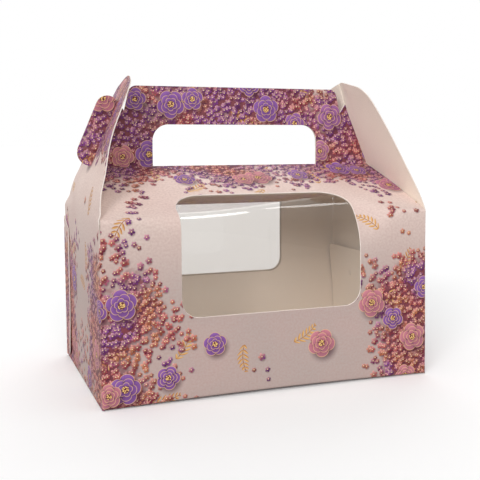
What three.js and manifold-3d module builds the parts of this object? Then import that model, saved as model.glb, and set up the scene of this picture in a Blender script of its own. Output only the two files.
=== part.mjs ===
// A paperboard carry box with a gable roof, a double handle and clear windows.
// It is folded from one printed sheet: walls, roofs and handles follow each other
// up the front and the back, and an ear bends out of each end wall over the gable.
// Millimetres, +Z up. The origin is the middle of the underside; the front faces -Y.

import * as THREE from 'three';
import { mergeVertices } from 'three/addons/utils/BufferGeometryUtils.js';
import Module from 'manifold-3d';

const wasm = await Module();
wasm.setup();

// Sheet stock and the play left between pieces that lie together
const BOARD = 0.6;
const FILM = 0.25;
const CLEARANCE = 0.3;

// Body
const BOX_LENGTH = 200;
const BOX_DEPTH = 125;
const WALL_HEIGHT = 102;
const RIDGE_RISE = 27;

// Front window, which runs up the wall and over the crease onto the roof
const WINDOW_WIDTH = 110;
const WINDOW_SILL = 46.8;
const WINDOW_REACH = 27.6;
const WINDOW_RADIUS = 10;
const WINDOW_HEAD_RADIUS = 18;

// Back window, in the wall alone
const BACK_WINDOW_WIDTH = 112;
const BACK_WINDOW_SILL = 50;
const BACK_WINDOW_HEAD = 2.2;
const BACK_WINDOW_RADIUS = 9;

// Clear sheet glued behind each window
const FILM_MARGIN = 9;
const FILM_RADIUS = 4;

// Handle
const HANDLE_RISE = 48.5;
const GRIP_WIDTH = 137;
const GRIP_RADIUS = 5;
const HOLE_WIDTH = 110;
const HOLE_RISE = 25.3;
const HOLE_RADIUS = 10;
const NOTCH_WIDTH = 144.4;
const NOTCH_RISE = 33.2;

// Tab at each handle end, which passes through the ear and hooks over it
const TAB_REACH = 11;
const TAB_FOOT = 0.6;
const TAB_FOOT_RADIUS = 6;
const HOOK_ANGLE = THREE.MathUtils.degToRad(55);
const HOOK_RADIUS = 7;

// Ears
const EAR_LEAN = THREE.MathUtils.degToRad(23.5);
const EAR_BEND_RADIUS = 54.5;
const EAR_WAIST_WIDTH = 104.6;
const EAR_WAIST_RISE = 17;
const EAR_WAIST_RADIUS = 45;
const EAR_SHOULDER_WIDTH = 66;
const EAR_SHOULDER_RISE = 75;
const EAR_SHOULDER_RADIUS = 16;
const EAR_TIP_RISE = 82.8;
const EAR_TIP_RADIUS = 60;

// Flaps that close the base and the one upright seam
const WING_HEIGHT = 67.5;
const WING_RADIUS = 3;
const TUCK_HEIGHT = 16;
const TUCK_RADIUS = 8;
const SEAM_WIDTH = 17;
const SEAM_TAPER = 7;
const SEAM_FOOT = 4.5;
const SEAM_RADIUS = 4;

// Fineness of round outlines and of the bent edges
const ARC_STEPS = 8;
const BEND_STEPS = 10;

// Slope of the roofs, worked out from the crease to the foot of the handle
const roofRun = BOX_DEPTH / 2 - BOARD - CLEARANCE / 2;
const roofLength = Math.hypot(roofRun, RIDGE_RISE);
const roofSlope = Math.atan2(RIDGE_RISE, roofRun);
const creaseFold = Math.PI / 2 - roofSlope;

// How far a sheet that lies this deep behind the printed face stops from the eaves crease
const creaseSetback = (depth) => depth / Math.tan((Math.PI - creaseFold) / 2) + CLEARANCE / 2;

// Half the distance between the ears at a height above the walls, at a depth into the board
function earFace(rise, depth) {
  const radius = EAR_BEND_RADIUS - depth;
  const centre = BOX_LENGTH / 2 - EAR_BEND_RADIUS;
  const bendTop = radius * Math.sin(EAR_LEAN);
  if (rise <= bendTop) return centre + Math.sqrt(radius ** 2 - rise ** 2);
  return centre + radius * Math.cos(EAR_LEAN) - (rise - bendTop) * Math.tan(EAR_LEAN);
}

const printedBoard = () => new THREE.MeshStandardMaterial({
  color: 0xc9a9a6,
  roughness: 0.5,
  metalness: 0,
});

const clearFilm = () => new THREE.MeshStandardMaterial({
  color: 0xe9eef0,
  roughness: 0.06,
  metalness: 0,
  transparent: true,
  opacity: 0.25,
});

// Closed outline through corners given as [x, y, radius]
function roundedOutline(corners) {
  const points = corners.map(([x, y]) => new THREE.Vector2(x, y));
  const outline = points.flatMap((corner, i) => {
    const back = points.at(i - 1).clone().sub(corner);
    const ahead = points[(i + 1) % points.length].clone().sub(corner);
    const halfAngle = back.angleTo(ahead) / 2;
    const share = (neighbour) => (neighbour[2] ? 0.5 : 1);
    const room = Math.min(
      back.length() * share(corners.at(i - 1)),
      ahead.length() * share(corners[(i + 1) % corners.length]),
    );
    const radius = Math.min(corners[i][2] ?? 0, room * Math.tan(halfAngle));
    if (radius === 0) return [corner];
    const turn = Math.sign(ahead.cross(back)) * (Math.PI - 2 * halfAngle);
    const bisector = back.normalize().clone().add(ahead.normalize()).normalize();
    const centre = corner.clone().addScaledVector(bisector, radius / Math.sin(halfAngle));
    const start = corner.clone().addScaledVector(back, radius / Math.tan(halfAngle));
    const step = (k) => start.clone().rotateAround(centre, turn * (k / ARC_STEPS));
    return Array.from({ length: ARC_STEPS + 1 }, (_, k) => step(k));
  });
  return new THREE.Shape(outline);
}

const mirrored = (corners) => corners.map(([x, y, radius]) => [-x, y, radius]).reverse();

// Flat sheet whose outer face lies at the given height over its plane
function sheet(outline, thickness, face = 0) {
  const geometry = new THREE.ExtrudeGeometry(outline, {
    depth: thickness,
    bevelEnabled: false,
  });
  return geometry.translate(0, 0, face - thickness);
}

function addPiece(parent, name, geometry, material) {
  const piece = new THREE.Mesh(geometry, material);
  piece.name = name;
  parent.add(piece);
}

function toSolid(geometry) {
  const bare = geometry.clone();
  bare.deleteAttribute('normal');
  bare.deleteAttribute('uv');
  const merged = mergeVertices(bare);
  return new wasm.Manifold(new wasm.Mesh({
    numProp: 3,
    vertProperties: new Float32Array(merged.attributes.position.array),
    triVerts: new Uint32Array(merged.index.array),
  }));
}

function toGeometry(solid) {
  const mesh = solid.getMesh();
  const geometry = new THREE.BufferGeometry();
  geometry.setAttribute('position', new THREE.BufferAttribute(mesh.vertProperties, 3));
  geometry.setIndex(new THREE.BufferAttribute(mesh.triVerts, 1));
  geometry.computeVertexNormals();
  return geometry;
}

const box = new THREE.Group();

// Frame of a wall: X to the right seen from outside, Y up, Z outward, printed face at Z = 0
function wallFrame(turn, reach) {
  const around = new THREE.Group();
  around.rotation.z = turn;
  const wall = new THREE.Group();
  wall.position.y = -reach;
  wall.rotation.x = Math.PI / 2;
  around.add(wall);
  box.add(around);
  return wall;
}

// Frame of the next sheet up, folded about a crease at the given height of the one below
function foldedFrame(below, height, fold) {
  const frame = new THREE.Group();
  frame.position.y = height;
  frame.rotation.x = fold;
  below.add(frame);
  return frame;
}

const frontWall = wallFrame(0, BOX_DEPTH / 2);
const rightWall = wallFrame(Math.PI / 2, BOX_LENGTH / 2);
const backWall = wallFrame(Math.PI, BOX_DEPTH / 2);
const leftWall = wallFrame(-Math.PI / 2, BOX_LENGTH / 2);

const wallTop = WALL_HEIGHT - creaseSetback(BOARD);
const behindBoard = -(BOARD + CLEARANCE);
const filmCrease = creaseSetback(BOARD + CLEARANCE + FILM);

// Front wall: the window is open at the top, where it goes on into the roof
const frontHalf = [
  [BOX_LENGTH / 2, 0],
  [BOX_LENGTH / 2, wallTop],
  [WINDOW_WIDTH / 2, wallTop],
  [WINDOW_WIDTH / 2, WINDOW_SILL, WINDOW_RADIUS],
];
addPiece(
  frontWall,
  'front_panel',
  sheet(roundedOutline([...frontHalf, ...mirrored(frontHalf)]), BOARD),
  printedBoard(),
);

const filmHalf = WINDOW_WIDTH / 2 + FILM_MARGIN;
const lowerFilm = [
  [filmHalf, WINDOW_SILL - FILM_MARGIN, FILM_RADIUS],
  [filmHalf, WALL_HEIGHT - filmCrease],
];
addPiece(
  frontWall,
  'front_window_film_lower',
  sheet(roundedOutline([...lowerFilm, ...mirrored(lowerFilm)]), FILM, behindBoard),
  clearFilm(),
);

// Back wall: its left end stands out by one board to turn into the seam flap
const seamFace = CLEARANCE + BOARD;
const backOutline = roundedOutline([
  [-BOX_LENGTH / 2, 0],
  [BOX_LENGTH / 2 + seamFace, 0],
  [BOX_LENGTH / 2 + seamFace, wallTop],
  [-BOX_LENGTH / 2, wallTop],
]);
const backWindowHead = WALL_HEIGHT - BACK_WINDOW_HEAD;
const backWindow = [
  [BACK_WINDOW_WIDTH / 2, BACK_WINDOW_SILL, BACK_WINDOW_RADIUS],
  [BACK_WINDOW_WIDTH / 2, backWindowHead],
];
backOutline.holes.push(roundedOutline([...backWindow, ...mirrored(backWindow)]));
addPiece(backWall, 'back_panel', sheet(backOutline, BOARD), printedBoard());

const backFilm = [
  [BACK_WINDOW_WIDTH / 2 + FILM_MARGIN, BACK_WINDOW_SILL - FILM_MARGIN, FILM_RADIUS],
  [BACK_WINDOW_WIDTH / 2 + FILM_MARGIN, WALL_HEIGHT - filmCrease],
];
addPiece(
  backWall,
  'back_window_film',
  sheet(roundedOutline([...backFilm, ...mirrored(backFilm)]), FILM, behindBoard),
  clearFilm(),
);

// End walls stand between the front and the back
const endHalf = BOX_DEPTH / 2 - BOARD - CLEARANCE;
const endTop = WALL_HEIGHT - CLEARANCE / 2;
const endWall = [[endHalf, 0], [endHalf, endTop]];
const endOutline = roundedOutline([...endWall, ...mirrored(endWall)]);
addPiece(leftWall, 'left_side_panel', sheet(endOutline, BOARD), printedBoard());
addPiece(rightWall, 'right_side_panel', sheet(endOutline, BOARD), printedBoard());

// Seam flap: comes round the back left corner and lies on the outside of the end wall
const seamTop = WALL_HEIGHT - SEAM_TAPER;
const seamOutline = roundedOutline([
  [-endHalf, CLEARANCE],
  [-endHalf + SEAM_WIDTH, SEAM_FOOT, SEAM_RADIUS],
  [-endHalf + SEAM_WIDTH, seamTop - SEAM_TAPER],
  [-endHalf, seamTop],
]);
addPiece(leftWall, 'seam_flap', sheet(seamOutline, BOARD, seamFace), printedBoard());

// Base, with a wing up the inside of each end wall and a tuck flap up the inside of the back
const baseHalfLength = BOX_LENGTH / 2 - BOARD - CLEARANCE;
const baseEdge = [[baseHalfLength, -endHalf], [baseHalfLength, endHalf]];
const baseOutline = roundedOutline([...baseEdge, ...mirrored(baseEdge)]);
addPiece(box, 'base_panel', sheet(baseOutline, BOARD, BOARD), printedBoard());

const flapFoot = BOARD + CLEARANCE;
const wingHalf = endHalf - BOARD - CLEARANCE;
const wingEdge = [[wingHalf, flapFoot], [wingHalf, WING_HEIGHT, WING_RADIUS]];
const wingOutline = roundedOutline([...wingEdge, ...mirrored(wingEdge)]);
addPiece(leftWall, 'left_base_wing', sheet(wingOutline, BOARD, behindBoard), printedBoard());
addPiece(rightWall, 'right_base_wing', sheet(wingOutline, BOARD, behindBoard), printedBoard());

const tuckHalf = baseHalfLength - BOARD - CLEARANCE;
const tuckEdge = [[tuckHalf, flapFoot], [tuckHalf, TUCK_HEIGHT, TUCK_RADIUS]];
const tuckOutline = roundedOutline([...tuckEdge, ...mirrored(tuckEdge)]);
addPiece(backWall, 'base_tuck_flap', sheet(tuckOutline, BOARD, behindBoard), printedBoard());

// Roofs: the slanting ends follow the bend of the ears
const frontRoof = foldedFrame(frontWall, WALL_HEIGHT, -creaseFold);
const backRoof = foldedFrame(backWall, WALL_HEIGHT, -creaseFold);
const roofFoot = creaseSetback(BOARD);
const roofTop = roofLength - CLEARANCE / 2;
const roofEdge = [];
for (let step = 0; step <= BEND_STEPS; step += 1) {
  const along = THREE.MathUtils.lerp(roofFoot, roofTop, step / BEND_STEPS);
  roofEdge.push([earFace(along * Math.sin(roofSlope), BOARD) - CLEARANCE, along]);
}
const roofWindow = [
  [WINDOW_WIDTH / 2, WINDOW_REACH, WINDOW_HEAD_RADIUS],
  [WINDOW_WIDTH / 2, roofFoot],
];
const frontRoofHalf = [...roofWindow, ...roofEdge];
addPiece(
  frontRoof,
  'front_roof',
  sheet(roundedOutline([...frontRoofHalf, ...mirrored(frontRoofHalf)]), BOARD),
  printedBoard(),
);
addPiece(
  backRoof,
  'back_roof',
  sheet(roundedOutline([...roofEdge, ...mirrored(roofEdge)]), BOARD),
  printedBoard(),
);

const upperFilm = [
  [filmHalf, filmCrease],
  [filmHalf, WINDOW_REACH + FILM_MARGIN, FILM_RADIUS],
];
addPiece(
  frontRoof,
  'front_window_film_upper',
  sheet(roundedOutline([...upperFilm, ...mirrored(upperFilm)]), FILM, behindBoard),
  clearFilm(),
);

// Hook line: the upper edge that rises from the notch, through the ear, to the tip of the tab
const hookSlope = Math.tan(HOOK_ANGLE);
const leanSlope = Math.tan(EAR_LEAN);
const earAtRidge = (depth) => earFace(RIDGE_RISE, depth);
function hookCorner(reachAtRidge) {
  const across = reachAtRidge - NOTCH_RISE * leanSlope - NOTCH_WIDTH / 2;
  const along = across / (1 + hookSlope * leanSlope);
  return [NOTCH_WIDTH / 2 + along, NOTCH_RISE + along * hookSlope];
}

// Handles: two sheets back to back, each cut out over the ridge for the hand
const handleFoot = CLEARANCE / 2;
const handleEnd = earAtRidge(BOARD) - CLEARANCE;
const handleHalf = [
  [HOLE_WIDTH / 2, HOLE_RISE, HOLE_RADIUS],
  [HOLE_WIDTH / 2, handleFoot],
  [handleEnd - handleFoot * leanSlope, handleFoot],
  hookCorner(handleEnd),
  [NOTCH_WIDTH / 2, NOTCH_RISE],
  [GRIP_WIDTH / 2, HANDLE_RISE, GRIP_RADIUS],
];
const handleOutline = roundedOutline([...handleHalf, ...mirrored(handleHalf)]);

// Tabs: the ends of the handle sheets beyond the inner face of the ears
const tabInner = earAtRidge(BOARD);
const tabOuter = earAtRidge(0) + TAB_REACH / Math.cos(EAR_LEAN);
const tabHalf = [
  [tabInner - TAB_FOOT * leanSlope, TAB_FOOT],
  [tabOuter - TAB_FOOT * leanSlope, TAB_FOOT, TAB_FOOT_RADIUS],
  [...hookCorner(tabOuter), HOOK_RADIUS],
  hookCorner(tabInner),
];
const tabRight = roundedOutline(tabHalf);
const tabLeft = roundedOutline(mirrored(tabHalf));

const frontHandle = foldedFrame(frontRoof, roofLength, creaseFold);
addPiece(frontHandle, 'front_handle', sheet(handleOutline, BOARD), printedBoard());
addPiece(frontHandle, 'front_left_tab', sheet(tabLeft, BOARD), printedBoard());
addPiece(frontHandle, 'front_right_tab', sheet(tabRight, BOARD), printedBoard());

// Seen from behind, the left end of the box is on the right
const backHandle = foldedFrame(backRoof, roofLength, creaseFold);
addPiece(backHandle, 'back_handle', sheet(handleOutline, BOARD), printedBoard());
addPiece(backHandle, 'back_left_tab', sheet(tabRight, BOARD), printedBoard());
addPiece(backHandle, 'back_right_tab', sheet(tabLeft, BOARD), printedBoard());

// Ear: a sheet bent inward from the end wall, cut to a rounded peak, with a slit for the tabs
function earGeometry() {
  const outer = [];
  const inner = [];
  for (let step = 0; step <= BEND_STEPS; step += 1) {
    const angle = EAR_LEAN * (step / BEND_STEPS);
    for (const [edge, depth] of [[outer, 0], [inner, BOARD]]) {
      const rise = (EAR_BEND_RADIUS - depth) * Math.sin(angle);
      edge.push(new THREE.Vector2(rise, earFace(rise, depth) - BOX_LENGTH / 2));
    }
  }
  for (const [edge, depth] of [[outer, 0], [inner, BOARD]]) {
    const end = earFace(EAR_TIP_RISE, depth) - BOX_LENGTH / 2;
    edge.push(new THREE.Vector2(EAR_TIP_RISE, end));
  }
  const section = new THREE.Shape([...outer, ...inner.reverse()]);
  const bent = new THREE.ExtrudeGeometry(section, { depth: BOX_DEPTH, bevelEnabled: false });
  bent.translate(0, 0, -BOX_DEPTH / 2);
  const turned = new THREE.Matrix4().makeBasis(
    new THREE.Vector3(0, 1, 0),
    new THREE.Vector3(0, 0, 1),
    new THREE.Vector3(1, 0, 0),
  );
  bent.applyMatrix4(turned);

  const earHalf = [
    [endHalf, CLEARANCE / 2],
    [EAR_WAIST_WIDTH / 2, EAR_WAIST_RISE, EAR_WAIST_RADIUS],
    [EAR_SHOULDER_WIDTH / 2, EAR_SHOULDER_RISE, EAR_SHOULDER_RADIUS],
  ];
  const peak = [0, EAR_TIP_RISE, EAR_TIP_RADIUS];
  const cutDepth = BOX_LENGTH;
  const outline = roundedOutline([...earHalf, peak, ...mirrored(earHalf)]);
  const blank = sheet(outline, cutDepth, cutDepth / 2);

  const slitWidth = 2 * (BOARD + CLEARANCE / 2 + CLEARANCE);
  const slitFoot = RIDGE_RISE + TAB_FOOT - CLEARANCE;
  const slitHead = RIDGE_RISE + hookCorner(earAtRidge(0))[1] + CLEARANCE;
  const slit = new THREE.BoxGeometry(slitWidth, slitHead - slitFoot, cutDepth);
  slit.translate(0, (slitHead + slitFoot) / 2, 0);

  return toGeometry(toSolid(bent).intersect(toSolid(blank)).subtract(toSolid(slit)));
}

const leftEar = foldedFrame(leftWall, WALL_HEIGHT, 0);
const rightEar = foldedFrame(rightWall, WALL_HEIGHT, 0);
addPiece(leftEar, 'left_ear', earGeometry(), printedBoard());
addPiece(rightEar, 'right_ear', earGeometry(), printedBoard());

export default box;
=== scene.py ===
import math

import bpy
from mathutils import Matrix, Vector, geometry


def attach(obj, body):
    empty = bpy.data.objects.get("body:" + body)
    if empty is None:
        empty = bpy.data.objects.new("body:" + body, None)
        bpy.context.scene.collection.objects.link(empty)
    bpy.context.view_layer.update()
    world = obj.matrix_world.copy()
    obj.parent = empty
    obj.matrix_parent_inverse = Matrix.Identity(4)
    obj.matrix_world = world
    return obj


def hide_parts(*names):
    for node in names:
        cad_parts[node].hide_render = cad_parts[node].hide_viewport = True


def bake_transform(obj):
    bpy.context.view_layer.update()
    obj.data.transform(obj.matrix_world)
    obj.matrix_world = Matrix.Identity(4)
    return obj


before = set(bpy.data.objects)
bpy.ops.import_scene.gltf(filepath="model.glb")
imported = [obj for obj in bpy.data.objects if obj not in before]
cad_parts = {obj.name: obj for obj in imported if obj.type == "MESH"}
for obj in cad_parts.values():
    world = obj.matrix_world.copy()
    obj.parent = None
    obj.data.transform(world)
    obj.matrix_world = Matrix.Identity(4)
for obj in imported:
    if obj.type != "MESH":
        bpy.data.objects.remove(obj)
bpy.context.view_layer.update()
scene = bpy.context.scene


# Front wall
# One panel of folding boxboard, creased and die cut, with a window that runs on over the eaves.
# Its foot turns under into the base, and its ends turn round the corners into the end walls.

# Sizes are in millimetres. A point of a flat panel is (u, v): along it, and up it from the foot.
LENGTH, DEPTH, WALL = 200.0, 125.0, 102.0
BOARD, BURR = 0.6, 0.18
RIDGE_RISE, RIDGE_GAP, RIDGE_RADIUS = 27.0, 0.75, 0.8
CORNER_RADIUS = 1.2
CORNER_SLIT, SLIT_INSET = 88.0, 0.5
FOOT_RADIUS, FOOT_STUB = 1.3, 3.0
FOOT_LIFT, FOOT_LIFT_TOP = 1.4, 45.0
END_FLARE, FLARE_START, FLARE_TOP = 1.4, 40.0, 95.0
EAVES_SPLIT = 76.0
EAVES_RADIUS_LEFT, EAVES_RADIUS_RIGHT, EAVES_RADIUS_END = 12.0, 38.0, 2.2
EAVES_WIDEN, EAVES_ROUND, EAVES_CRISP = 50.0, 56.0, 84.0
WINDOW_HALF, WINDOW_SILL, WINDOW_REACH, WINDOW_RADIUS = 55.0, 46.8, 27.6, 10.0
AT_EDGE = 0.01

roof_run = DEPTH / 2 - RIDGE_GAP
roof_length = math.hypot(roof_run, RIDGE_RISE)
roof_slope = math.atan2(RIDGE_RISE, roof_run)
eaves_fold = math.pi / 2 - roof_slope
ridge = WALL + roof_length


def smooth(value, low, high):
    """Eases from 0 at low to 1 at high."""
    t = min(max((value - low) / (high - low), 0.0), 1.0)
    return t * t * (3 - 2 * t)


def round_corners(corners, steps=10):
    """Outline in mm through corners given as (x, y) or (x, y, radius)."""
    outline = []
    for i, (x, y, *radius) in enumerate(corners):
        corner = Vector((x, y))
        if not radius:
            outline.append(corner)
            continue
        back = (Vector(corners[i - 1][:2]) - corner).normalized()
        ahead = (Vector(corners[(i + 1) % len(corners)][:2]) - corner).normalized()
        half = back.angle(ahead) / 2
        to_centre = (back + ahead).normalized() * (radius[0] / math.sin(half))
        arm = back * (radius[0] / math.tan(half)) - to_centre
        turn = math.copysign(math.pi - 2 * half, ahead.cross(back))
        for k in range(steps + 1):
            c, s = math.cos(turn * k / steps), math.sin(turn * k / steps)
            swung = Vector((arm.x * c - arm.y * s, arm.x * s + arm.y * c))
            outline.append(corner + to_centre + swung)
    return outline


def both_halves(corners, others=None):
    """The right half of an outline, and the mirror image of it or of another half."""
    return [*corners, *((-x, y, *radius) for x, y, *radius in reversed(others or corners))]


def lines(low, high, step):
    """Evenly spaced lines from low to high, no further apart than step."""
    count = max(1, math.ceil((high - low) / step))
    return [low + (high - low) * k / count for k in range(count + 1)]


def inside(rings, x, y):
    """Whether a point lies within an odd number of the rings."""
    odd = False
    for ring in rings:
        for a, b in zip(ring, ring[1:] + ring[:1]):
            if (a.y > y) != (b.y > y) and x < a.x + (y - a.y) / (b.y - a.y) * (b.x - a.x):
                odd = not odd
    return odd


# Least step along the rim of a sheet, least span of an edge that lines cut, least distance of an
# inner point from the rim (squared), and the distance within which points are one
RIM_STEP, CROSSED_SPAN, RIM_CLEAR_SQUARED, WELD = 0.15, 0.2, 0.06, 1e-5


def cut_sheet(rings, columns, rows):
    """Flat points and triangles between the rings, with lines of points where the sheet bends."""
    points, edges = [], []
    for ring in rings:
        first = len(points)
        for a, b in zip(ring, ring[1:] + ring[:1]):
            cuts = [0.0]
            for axis, marks in ((0, columns), (1, rows)):
                span = b[axis] - a[axis]
                if abs(span) > CROSSED_SPAN:
                    cuts += [(mark - a[axis]) / span for mark in marks]
            room = RIM_STEP / max((b - a).length, RIM_STEP)
            kept = []
            for cut in sorted(cuts):
                if 0 <= cut < 1 - room and (not kept or cut - kept[-1] > room):
                    kept.append(cut)
            points += [a.lerp(b, cut) for cut in kept]
        edges += [(i, i + 1) for i in range(first, len(points) - 1)] + [(len(points) - 1, first)]
    rim = list(points)
    for x in columns:
        for y in rows:
            spot = Vector((x, y))
            if inside(rings, x, y) and (
                    min((spot - p).length_squared for p in rim) > RIM_CLEAR_SQUARED):
                points.append(spot)
    flat, _, faces, *_ = geometry.delaunay_2d_cdt(points, edges, [], 0, WELD)
    triangles = []
    for face in faces:
        a, b, c = (flat[i] for i in face)
        if inside(rings, *((a + b + c) / 3)):
            triangles.append(list(face) if (b - a).cross(c - a) > 0 else list(face)[::-1])
    used = sorted({i for face in triangles for i in face})
    number = {old: new for new, old in enumerate(used)}
    return [flat[i] for i in used], [[number[i] for i in face] for face in triangles]


FACE_SIDE, BACK_SIDE, CUT_SIDE = range(3)
NUDGE, SHARP_TURN = 0.02, math.radians(35)


def fold_board(name, sheet, place, sheet_spot, finishes, depth=0.0, thickness=BOARD, bared=None):
    """Folds a flat sheet into place: face, back and cut edge, with its spot on the printed sheet
    as UV. Where bared(u, v) holds, the die has rounded the edge off and bared the white board."""
    points, triangles = sheet
    count = len(points)
    rim = {}
    for face in triangles:
        for a, b in zip(face, face[1:] + face[:1]):
            rim[frozenset((a, b))] = None if frozenset((a, b)) in rim else (a, b)
    edges = [edge for edge in rim.values() if edge]
    inward = {}
    for a, b in edges:
        if bared and bared(*points[a]) and bared(*points[b]):
            run = (points[b] - points[a]).normalized()
            for i in (a, b):
                inward[i] = inward.get(i, Vector((0, 0))) + Vector((-run.y, run.x))
    drawn_in = [
        p + inward[i].normalized() * BURR if i in inward else p for i, p in enumerate(points)]
    spots = [*drawn_in, *points, *(points[i] for i in inward)]
    sunk = [0.0] * count + [thickness] * count + [BURR] * len(inward)
    corners = []
    for (u, v), below in zip(spots, sunk):
        along = Vector(place(u + NUDGE, v)) - Vector(place(u - NUDGE, v))
        up = Vector(place(u, v + NUDGE)) - Vector(place(u, v - NUDGE))
        sink = along.cross(up).normalized() * (depth + below)
        corners.append((Vector(place(u, v)) - sink) / 1000)
    faces = [(face, FACE_SIDE) for face in triangles]
    faces += [([i + count for i in reversed(face)], BACK_SIDE) for face in triangles]
    shoulder = {i: 2 * count + k for k, i in enumerate(inward)}
    for a, b in edges:
        bevel = list(dict.fromkeys((b, a, shoulder.get(a, a), shoulder.get(b, b))))
        if len(bevel) > 2:
            faces.append((bevel, CUT_SIDE))
        faces.append(([shoulder.get(b, b), shoulder.get(a, a), a + count, b + count], CUT_SIDE))
    mesh = bpy.data.meshes.new(name)
    mesh.from_pydata(corners, [], [face for face, _ in faces])
    for finish in finishes:
        mesh.materials.append(finish)
    last = len(finishes) - 1
    mesh.polygons.foreach_set("material_index", [min(side, last) for _, side in faces])
    layer = mesh.uv_layers.new(name="printed_sheet")
    for loop in mesh.loops:
        layer.data[loop.index].uv = sheet_spot(*spots[loop.vertex_index])
    mesh.shade_smooth()
    mesh.set_sharp_from_angle(angle=SHARP_TURN)
    piece = bpy.data.objects.new(name, mesh)
    scene.collection.objects.link(piece)
    return piece


def crease(t, radius, fold, corner, before, side):
    """Point on a rounded crease: t runs along the sheet from the sharp corner."""
    reach = radius * math.tan(fold / 2)
    angle = fold * (t + reach) / (2 * reach)
    around = before * math.sin(angle) + side * (1 - math.cos(angle))
    return corner - before * reach + around * radius


def strip_path(v, eaves_radius):
    """(y, z) of the front strip's printed face, v along it up the wall, the roof and the handle."""
    eaves, top = Vector((-DEPTH / 2, WALL)), Vector((-RIDGE_GAP, WALL + RIDGE_RISE))
    up, inward = Vector((0, 1)), Vector((1, 0))
    slope = Vector((math.cos(roof_slope), math.sin(roof_slope)))
    across = Vector((-math.sin(roof_slope), math.cos(roof_slope)))
    half_turn = math.tan(eaves_fold / 2)
    if abs(v - WALL) < eaves_radius * half_turn:
        return crease(v - WALL, eaves_radius, eaves_fold, eaves, up, inward)
    if v < WALL:
        return eaves + up * (v - WALL)
    if abs(v - ridge) < RIDGE_RADIUS * half_turn:
        return crease(v - ridge, RIDGE_RADIUS, eaves_fold, top, slope, across)
    if v < ridge:
        return eaves + slope * (v - WALL)
    return top + up * (v - ridge)


def flare(x, z):
    """How far the right end stands out, most at its foot."""
    return END_FLARE * smooth(x, FLARE_START, LENGTH / 2) * smooth(z, FLARE_TOP, 0)


def front_place(u, v):
    """The base, front wall, roof and handle in one strip: crisp creases, pulled round at the eaves
    where the film bends, wider to the right, and a foot that lifts in the middle."""
    if v < FOOT_RADIUS:
        foot = Vector((-DEPTH / 2, 0))
        y, z = foot - Vector((v, 0))
        if v > -FOOT_RADIUS:
            y, z = crease(v, FOOT_RADIUS, math.pi / 2, foot, Vector((-1, 0)), Vector((0, 1)))
    else:
        wider = smooth(u, -EAVES_WIDEN, EAVES_WIDEN)
        pulled = EAVES_RADIUS_LEFT + (EAVES_RADIUS_RIGHT - EAVES_RADIUS_LEFT) * wider
        freed = smooth(abs(u), EAVES_CRISP, EAVES_ROUND)
        y, z = strip_path(v, EAVES_RADIUS_END + (pulled - EAVES_RADIUS_END) * freed)
    lift = FOOT_LIFT * (1 - (u / (LENGTH / 2)) ** 2) * (1 - smooth(abs(v), 0, FOOT_LIFT_TOP))
    return u + flare(u, v), y, z + lift


def front_spot(u, v):
    return u, v


def ink(code):
    """Linear colour of an sRGB hex value."""
    channels = [int(code[i:i + 2], 16) / 255 for i in (1, 3, 5)]
    return [c / 12.92 if c <= 0.04045 else ((c + 0.055) / 1.055) ** 2.4 for c in channels] + [1.0]


def wire(tree, kind, *inputs, named=None, **settings):
    """Adds a node. An input is a value, a socket, or a node whose first output is taken."""
    made = tree.nodes.new("ShaderNode" + kind)
    for name, value in settings.items():
        setattr(made, name, value)
    for key, value in [*enumerate(inputs), *(named or {}).items()]:
        if isinstance(value, bpy.types.Node):
            value = value.outputs[0]
        if isinstance(value, bpy.types.NodeSocket):
            tree.links.new(value, made.inputs[key])
        elif value is not None:
            made.inputs[key].default_value = value
    return made


def new_finish(name):
    """Starts a material: itself, its nodes and its shader."""
    material = bpy.data.materials.new(name)
    material.use_nodes = True
    tree = material.node_tree
    return material, tree, tree.nodes["Principled BSDF"]


# Lengths in the print, on the unfolded sheet. The design fills a crown over the roofs and handles,
# and a bed beside each corner, and thins out by slow drifts between them.
CROWN_FOOT, CROWN_FULL = 112, 178
BED_START, BED_FULL, BED_PAST, BED_OVERLAP = 40, 90, 112, 8
BED_DEEP, BED_TOP = 44, 116
DRIFT, DRIFT_WEIGHT, THINNING = 34, 1.3, 0.62
WASH_CLOUD, WASH_MOTTLE, PRINT_GRAIN = 45, 3.2, 1.3
ROSE_PATCH, COPPER_PATCH = 24, 17
SPRIG_PITCH, SPRIG_HALF, SPRIG_BOW = 34.0, 8.5, 1.6
LEAF_LONG, LEAF_SHORT, LEAF_HALF, LEAF_GAP, LEAF_RAKE = 3.8, 1.2, 0.95, 2.6, 0.8
PETAL_COUNT, STAMEN = 5, 0.95
SOFT = {"interpolation_type": "SMOOTHSTEP"}


def scatter(tree, spot, pitch, slant):
    """Spreads a motif in slanting rows: the way from its middle, its place, and three chances."""
    turned = wire(tree, "VectorRotate", rotation_type="Z_AXIS",
                  named={"Vector": spot, "Angle": slant})
    cells = wire(tree, "TexVoronoi", voronoi_dimensions="2D",
                 named={"Vector": turned, "Scale": 1 / pitch, "Randomness": 0.5})
    home = wire(tree, "VectorRotate", rotation_type="Z_AXIS",
                named={"Vector": cells.outputs["Position"], "Angle": -slant})
    away = wire(tree, "VectorMath", spot, home, operation="SUBTRACT")
    return away, home, wire(tree, "SeparateColor", cells.outputs["Color"]).outputs


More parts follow.
